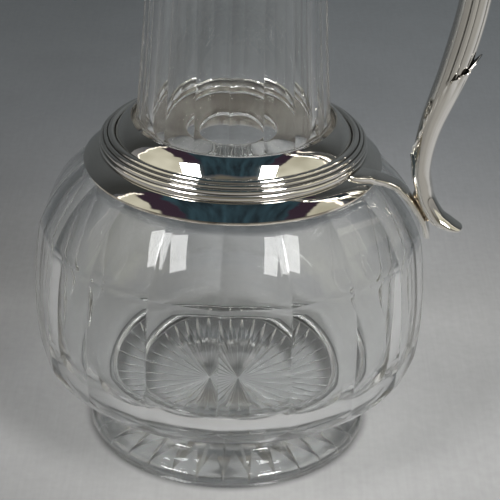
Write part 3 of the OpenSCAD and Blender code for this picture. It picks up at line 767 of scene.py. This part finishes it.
# %% Handle
socket_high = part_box("handle_socket")[1]
HANDLE_ROWS = [(85.2, 91.6, 1.0, 2.6), (84.5, 91.8, 1.9, 6.2), (82.8, 92.2, 3.0, 8.4), (80.0, 93.2, 4.4, 9.6),
               (75.63, 95.61, 5.94, 9.6), (71.73, 101.55, 6.4, 9.24), (70, 106.96, 6.7, 9.24),
               (68.7, 115, 6.9, 9.5), (70.58, 130, 7.95, 10.2), (77.36, 153, 10.4, 11.64),
               (82.12, 177.05, 10.9, 12.24), (84, 202.8, 10.6, 12), (80.4, 219.8, 10.1, 11.6),
               (66.7, 225.1, 9.2, 11), (54, 222.3, 8.8, 10.4), (45, 219.5, 8.7, 10),
               (socket_high.x / MM + 0.1, 218, 9, 10)]
HANDLE_STEPS = 20
HANDLE_LINE = smooth(HANDLE_ROWS, HANDLE_STEPS)
REED_EDGES = [-98, -74, -34, 34, 74, 98]
REED_STEPS = 8
REED_DEPTH = 0.085
REED_START_Z = 149
PLAIN_STEPS = 24


def handle_section():
    """Pairs of an angle round the section and how deep the reeding cuts there."""
    places = []
    for first, last in zip(REED_EDGES, REED_EDGES[1:]):
        for j in range(REED_STEPS):
            q = -cos(pi * j / REED_STEPS)
            places.append((first + (last - first) * (1 + q) / 2, REED_DEPTH * (1 - sqrt(1 - q * q))))
    plain = 360 - REED_EDGES[-1] + REED_EDGES[0]
    return places + [(REED_EDGES[-1] + plain * k / PLAIN_STEPS, REED_DEPTH if k == 0 else 0)
                     for k in range(PLAIN_STEPS)]


def handle_point(k, angle, cut=0.0, proud=0.0):
    """A point on the handle's surface at row k of its line; angle 0 is its outer side."""
    x, z, depth, width = HANDLE_LINE[k]
    run, climb = along(HANDLE_LINE, k)
    u = (depth / 2 * (1 - cut) + proud) * cos(radians(angle))
    v = (width / 2 * (1 - cut) + proud) * sin(radians(angle))
    return (x + climb * u, v, z - run * u)


section = handle_section()
first_reeded = next(k for k, row in enumerate(HANDLE_LINE) if row[1] > REED_START_Z)
reeded = set(range(first_reeded, len(HANDLE_LINE)))
ridges = {k * REED_STEPS for k in range(len(REED_EDGES))}
rings = [[handle_point(k, angle, cut if k in reeded else 0) for angle, cut in section]
         for k in range(len(HANDLE_LINE))]
dirt = [1.0 if k in reeded and i in ridges else 0.0 for k in range(len(rings)) for i in range(len(section))]
skin("handle_casting", rings, SILVER, "vessel", ["handle"],
     ridges=ridges, ridged=reeded, hollow=dirt)
print("handle rings:", len(rings), "corners in each:", len(section))

# %% [markdown]
# A thin leaf sheath lies over the plain part of the casting. Its rim runs from a tip on the outer side,
# down both flanks and round the inner side. Between every two notches of the rim the edge curls out like
# a small cup and leaves a pocket behind it, and the sheath's inner layer is painted nearly black as the
# painted shade in these pockets. The table lists the notches of one flank, and how far the edge curls
# out on the way to each.


# %% Leaf sheath on the handle
LEAF_THICKNESS = 0.5
LEAF_LIFT = 0.42
LEAF_BASE = 108
LEAF_STEPS = 20
LEAF_CURL_POWER = 14
LEAF_NOTCHES = [(0, 160.2, 0), (30, 155.0, 1.5), (60, 152.6, 1.5), (90, 149.6, 1.6), (103, 144.6, 0.5),
                (108, 140.6, 0.8), (112, 137.2, 0.9), (116, 134.0, 0.9), (120, 130.6, 0.9), (126, 126.6, 0.9),
                (140, 121.4, 0.7), (160, 118.2, 0.6), (180, 117.2, 0.6)]
LOBE_STEPS = 8
TIP_CURL = 1.7
# How dark the sheath's inner layer is painted: painted shade in the pockets behind the curled lobes.
PAINTED_POCKET_SHADE = 0.95


def handle_at(z, angle, proud):
    """A point over the handle's surface where its line first reaches a height."""
    k = next(k for k in range(len(HANDLE_LINE) - 1) if HANDLE_LINE[k + 1][1] > z)
    part = (z - HANDLE_LINE[k][1]) / (HANDLE_LINE[k + 1][1] - HANDLE_LINE[k][1])
    a, b = handle_point(k, angle, 0, proud), handle_point(k + 1, angle, 0, proud)
    return tuple(p + (q - p) * part for p, q in zip(a, b))


def leaf_rim():
    """(angle, height, curl) round the rim, both flanks alike."""
    half = []
    for (a, z, _), (b, y, curl) in zip(LEAF_NOTCHES, LEAF_NOTCHES[1:]):
        for j in range(LOBE_STEPS):
            u = j / LOBE_STEPS
            lobe = z + (y - z) * u + 0.35 * curl * sin(pi * u)
            half.append((a + (b - a) * u, lobe, curl * sin(pi * u) if a else TIP_CURL * (1 - u) ** 0.6))
    return [(-a, z, curl) for a, z, curl in half[:0:-1]] + half + [(180, LEAF_NOTCHES[-1][1], 0)]


def leaf_ring(rim, s, inside):
    """A ring of the sheath, from its hidden foot at s = 0 to its rim at s = 1."""
    ring = []
    for angle, z, curl in rim:
        lift = LEAF_LIFT * s + curl * s ** LEAF_CURL_POWER
        proud = 0.01 * s + max(lift - LEAF_THICKNESS, 0) if inside else 0.02 + lift
        ring.append(handle_at(LEAF_BASE + (z - LEAF_BASE) * s, angle, proud))
    return ring


leaf = leaf_rim()
n = len(leaf)
rings = [leaf_ring(leaf, k / LEAF_STEPS, False) for k in range(LEAF_STEPS + 1)]
rings += [leaf_ring(leaf, k / LEAF_STEPS, True) for k in range(LEAF_STEPS, -1, -1)]
leaf_edges = (0, LEAF_STEPS, LEAF_STEPS + 1, 2 * LEAF_STEPS + 1)
# The outer layer keeps the plain silver; the inner layer is painted dark as pocket shade.
piece("leaf_sheath", [p for ring in rings for p in ring], grid_faces(len(rings), n, ring=True), SILVER,
      "vessel", ["handle_outer_leaf", "handle_inner_leaf"],
      hard=lambda a, b: a // n == b // n and a // n in leaf_edges,
      marks={"hollow": [0.0] * (n * len(rings) // 2) + [PAINTED_POCKET_SHADE] * (n * len(rings) // 2)})
print("leaf rings:", len(rings), "corners in each:", n)

# %% [markdown]
# A strap leaves the lower band of the collar, wide at first. It narrows at once and runs down to the
# foot of the handle, clear of the glass. Its edges are thick and rounded, and its middle is a little
# raised. The table gives radius, height, front and back edge and thickness, because the strap comes
# off the collar on the side towards the viewer and swings into the plane of the handle.


# %% Strap
STRAP_ROWS = [(49.2, 115.2, -17.9, -7.5, 2.2), (50.2, 114.7, -17.6, -6.8, 2.3),
              (51.6, 113.9, -16.2, -5.4, 2.3), (53.3, 112.8, -13.5, -3.4, 2.3), (55, 111.3, -10.3, -1.4, 2.3),
              (58.6, 109.3, -6.8, 0.8, 2.3), (62, 107.4, -5.8, 1.4, 2.2), (65.9, 103.2, -4.8, 1.8, 2.1),
              (69.4, 98.4, -4.2, 2.2, 2), (72, 94, -3.6, 2.4, 2), (73.4, 89.8, -3, 2.6, 2),
              (73.8, 87.2, -2.3, 2.3, 1.9), (73.9, 86.3, -1, 1, 1)]
STRAP_LINE = smooth(STRAP_ROWS, 6)
STRAP_CROWN = 0.3


def strap_ring(k):
    """A section of the strap: round edge, crowned top, round edge, flat back."""
    r, z, front, back, thick = STRAP_LINE[k]
    out, up = along(STRAP_LINE, k)
    middle = (front + back) / 2
    flat = max((back - front) / 2 - thick / 2, 0.05)
    edge = [(flat + thick / 2 * cos(radians(a)), thick / 2 * (sin(radians(a)) - 1))
            for a in range(-90, 91, 18)]
    crown = STRAP_CROWN * min(1, flat / 4)
    top = [(flat * (1 - j / 8), crown * (1 - (1 - j / 8) ** 2)) for j in range(1, 16)]
    under = [(-flat * (1 - j / 4), -thick) for j in range(1, 8)]
    ring = []
    for v, w in edge + top + [(-v, w) for v, w in edge[::-1]] + under:
        reach, turn = r - up * w, (middle + v) / r
        ring.append((reach * cos(turn), reach * sin(turn), z + out * w))
    return ring


skin("strap", [strap_ring(k) for k in range(len(STRAP_LINE))], SILVER, "vessel", ["handle_tongue"])
print("strap rings:", len(STRAP_LINE))

# %% [markdown]
# Where the handle meets the strap there is a web of old solder, darker and rougher than the silver. It
# was never filed, so its sides wander. A few waves of different lengths do that, with nothing random.


# %% Solder between strap and handle
WEB_STEPS = 36
WEB_CORNERS = 28
WEB_HALF = 3.3


def web_ring(t):
    """A rough closed ring from the strap's top to the middle of the handle."""
    on_strap = (66.6 + 5.6 * t, 103.4 - 9.6 * t)
    on_handle = (70.2 + 5.0 * t, 106.6 - 10.4 * t)
    ring = []
    for j in range(WEB_CORNERS):
        turn = 2 * pi * j / WEB_CORNERS
        across, aside = (1 - cos(turn)) / 2, sin(turn)
        waist = WEB_HALF - 0.7 * sin(pi * across)
        half = waist + 0.4 * cos(42 * t + 2 * sin(5 * turn)) + 0.12 * sin(97 * t * turn)
        ring.append((on_strap[0] + (on_handle[0] - on_strap[0]) * across,
                     half * aside * abs(aside) ** -0.5 if aside else 0.0,
                     on_strap[1] + (on_handle[1] - on_strap[1]) * across))
    return ring


web = [web_ring(k / WEB_STEPS) for k in range(WEB_STEPS + 1)]
skin("solder_web", web, SOLDER, "vessel", ["handle_saddle"])
print("solder rings:", len(web))

# %% [markdown]
# The studio is a pale table that runs up into a grey-blue backdrop. Light and shade are painted into the
# table's colour: a painted pool of light round the jug, painted shade towards the front and towards the
# backdrop, a painted shadow to the left, and a ring of painted shadow under the foot, where the real one
# has its shadow. Fibres, clouds and fine scratches keep the paper from looking flat.

# %% Floor and backdrop
STUDIO_TURN = radians(CAMERA_TURN)
# The table's tone from front to back, with painted light: brightest just behind the jug, painted shade
# towards the front and the backdrop.
TABLE_TONE_AND_PAINTED_LIGHT = [
    (0.0, (0.15, 0.145, 0.135, 1)), (0.4, (0.22, 0.215, 0.205, 1)), (0.465, (0.34, 0.34, 0.342, 1)),
    (0.54, (0.43, 0.43, 0.435, 1)), (0.566, (0.34, 0.343, 0.352, 1)), (0.6, (0.21, 0.217, 0.228, 1)),
    (0.65, (0.155, 0.165, 0.177, 1)), (0.75, (0.125, 0.138, 0.15, 1)), (1.0, (0.12, 0.132, 0.142, 1))]
SWEEP_START, SWEEP_R, SWEEP_TOP, SWEEP_HALF = 0.6, 0.5, 3.2, 3


def studio(x, y, z):
    """A place in the studio, with +Y straight away from the camera."""
    s, c = sin(STUDIO_TURN), cos(STUDIO_TURN)
    return Vector((x * c - y * s, x * s + y * c, z))


def paper():
    material, t, place = new_material("paper")
    aside, away = (t.add("ShaderNodeSeparateXYZ", Vector=place, out=k) for k in range(2))
    fibre = t.add("ShaderNodeTexNoise", Vector=place, Scale=260.0, Detail=3.0)
    cloud = t.add("ShaderNodeTexNoise", Vector=place, Scale=22.0, Detail=4.0)
    across = t.add("ShaderNodeMapping", Vector=place, Rotation=(0, 0, 0.9), Scale=(700, 40, 1))
    scratch = t.add("ShaderNodeTexNoise", Vector=across, Scale=1.0, Detail=1.0)
    # Painted light and shade along the table, from the stops above.
    tint = t.add("ShaderNodeValToRGB", Fac=away * 0.5 + 0.5 + (cloud - 0.5) * 0.015, stops=TABLE_TONE_AND_PAINTED_LIGHT)
    reach = t.add("ShaderNodeVectorMath", {"operation": "LENGTH"}, i0=place, out=1)
    # A ring of painted shadow round the foot, darkest from 44 to 52 mm out, with the middle only a little
    # darker.
    under = rise(t, reach, 0.034, 0.044, 0.9, 0.34)
    beyond = rise(t, reach, 0.0515, 0.0565)
    # Painted shadow to the left of the jug, where the right window's shadow falls, times the ring under the
    # foot.
    shade = rise(t, aside, -0.13, 0.06, 0.72, 1.0) * (under + (1 - under) * beyond)
    mottle = (cloud - 0.5) * 0.22 + (fibre - 0.5) * 0.16 + (scratch - 0.5) * 0.1 + 1.0
    tint = t.add("ShaderNodeVectorMath", {"operation": "SCALE"}, i0=tint, Scale=shade * mottle)
    shader = t.add("ShaderNodeBsdfPrincipled", Base_Color=tint, Roughness=0.9)
    t.add("ShaderNodeOutputMaterial", Surface=shader)
    return material


def make_backdrop():
    sweep = [(SWEEP_START + SWEEP_R * sin(radians(a)), SWEEP_R - SWEEP_R * cos(radians(a)))
             for a in range(10, 91, 10)]
    line = [(-2.5, 0), (-0.5, 0), (SWEEP_START, 0)] + sweep + [(SWEEP_START + SWEEP_R, SWEEP_TOP)]
    points = [(x, y, z) for y, z in line for x in (-SWEEP_HALF, SWEEP_HALF)]
    faces = [(2 * k, 2 * k + 1, 2 * k + 3, 2 * k + 2) for k in range(len(line) - 1)]
    mesh = bpy.data.meshes.new("paper_sweep")
    mesh.from_pydata(points, [], faces)
    mesh.polygons.foreach_set("use_smooth", [True] * len(faces))
    mesh.materials.append(paper())
    obj = bpy.data.objects.new("paper_sweep", mesh)
    obj.rotation_euler.z = STUDIO_TURN
    bpy.context.scene.collection.objects.link(obj)
    print("backdrop faces:", len(faces))


make_backdrop()

# %% [markdown]
# Two tall windows light the jug from the viewer's side, one to the left and one to the right. Silver
# shows them as bright patches, so they stand where those patches ask for them, and they lean so that
# the patches have the right slant.


# %% Windows
WINDOW_DISTANCE = 1.8
WINDOW_TINT = (1, 0.995, 0.98)
JUG_MIDDLE = Vector((0, 0, 0.1))


def window(name, towards, up, width, height, glow):
    """A lit rectangle in a direction from the jug, turned so that its height follows up."""
    light = bpy.data.lights.new(name, "AREA")
    light.shape = "RECTANGLE"
    light.size, light.size_y = width, height
    light.energy = glow * pi * width * height
    light.color = WINDOW_TINT
    obj = bpy.data.objects.new(name, light)
    back = studio(*towards).normalized()
    obj.rotation_euler = facing(back, studio(*up)).to_euler()
    obj.location = JUG_MIDDLE + WINDOW_DISTANCE * back
    bpy.context.scene.collection.objects.link(obj)


window("left_window", (-0.525, -0.49, 0.695), (0.1, 0.83, 0.55), 0.46, 0.8, glow=17)
window("right_window", (0.46, -0.52, 0.715), (-0.1, 0.83, 0.55), 0.38, 0.85, glow=29)
print("lights:", [light.name for light in bpy.data.lights])

# %% [markdown]
# The rest of the room is painted on the world: warm walls on both sides up to a bright cornice, a dark
# ceiling with a blue-green middle, and a dim far end behind the camera. Two flat coordinates, made by
# dividing by height, turn the dome into a map on which the walls are simple rectangles.


# %% The room all round
def between(t, value, low, high, soft):
    """1 between low and high, 0 outside, with soft steps."""
    return rise(t, value, low - soft, low + soft) * (1 - rise(t, value, high - soft, high + soft))


def make_room():
    world = bpy.data.worlds.new("room")
    bpy.context.scene.world = world
    world.use_nodes = True
    t = Tree(world.node_tree)
    place = t.add("ShaderNodeTexCoord", out=0)
    ray = t.add("ShaderNodeMapping", Vector=place, Rotation=(0, 0, -STUDIO_TURN))
    x, y, z = (t.add("ShaderNodeSeparateXYZ", Vector=ray, out=k) for k in range(3))
    wander = (t.add("ShaderNodeTexNoise", Vector=ray, Scale=4.0, Detail=3.0) - 0.5) * 0.16
    aside = abs(x) / (z + 1.02) + wander
    ahead = y / (z + 1.02) + wander
    upper = rise(t, z, -0.02, 0.02)
    room = t.add("ShaderNodeValToRGB", Fac=z * 0.5 + 0.5, stops=[
        (0.0, (0.5, 0.5, 0.5, 1)), (0.5, (0.3, 0.29, 0.27, 1)),
        (0.75, (0.13, 0.13, 0.14, 1)), (0.92, (0.02, 0.034, 0.044, 1))])
    far_end = (1 - rise(t, ahead, -0.46, -0.4)) * (1 - rise(t, aside, 0.4, 0.6)) * upper
    room = paint(t, room, far_end, (0.13, 0.12, 0.095, 1))
    stretch = t.add("ShaderNodeMapping", Vector=ray, Scale=(14, 2, 2))
    streak = t.add("ShaderNodeTexNoise", Vector=stretch, Scale=1.0)
    ceiling = t.add("ShaderNodeValToRGB", Fac=streak, stops=[(0.35, (0.014, 0.022, 0.028, 1)),
                                                             (0.75, (0.035, 0.07, 0.09, 1))])
    over = between(t, aside, -0.3, 0.24, 0.02) * between(t, ahead, -0.4, 0.14, 0.02) * upper
    room = paint(t, room, over, ceiling)
    purple = between(t, aside, 0.215, 0.33, 0.012) * between(t, ahead, -0.19, 0.17, 0.02)
    room = paint(t, room, purple, (0.035, 0.022, 0.034, 1))
    wall = between(t, aside, 0.31, 0.75, 0.01) * between(t, ahead, -0.36, 0.13, 0.008) * upper
    patch = t.add("ShaderNodeTexNoise", Vector=ray, Scale=2.2, Detail=1.0)
    cream = t.add("ShaderNodeValToRGB", Fac=patch, stops=[(0.3, (0.42, 0.4, 0.31, 1)),
                                                          (0.7, (0.72, 0.7, 0.58, 1))])
    room = paint(t, room, wall, cream)
    cornice = between(t, aside, 0.3, 0.75, 0.01) * between(t, ahead, 0.12, 0.14, 0.004) * upper
    room = paint(t, room, cornice, (1.6, 1.5, 1.3, 1))
    sky = t.add("ShaderNodeBackground", Color=room, Strength=1.0)
    t.add("ShaderNodeOutputWorld", Surface=sky)
    print("nodes in the room:", len(world.node_tree.nodes))


make_room()
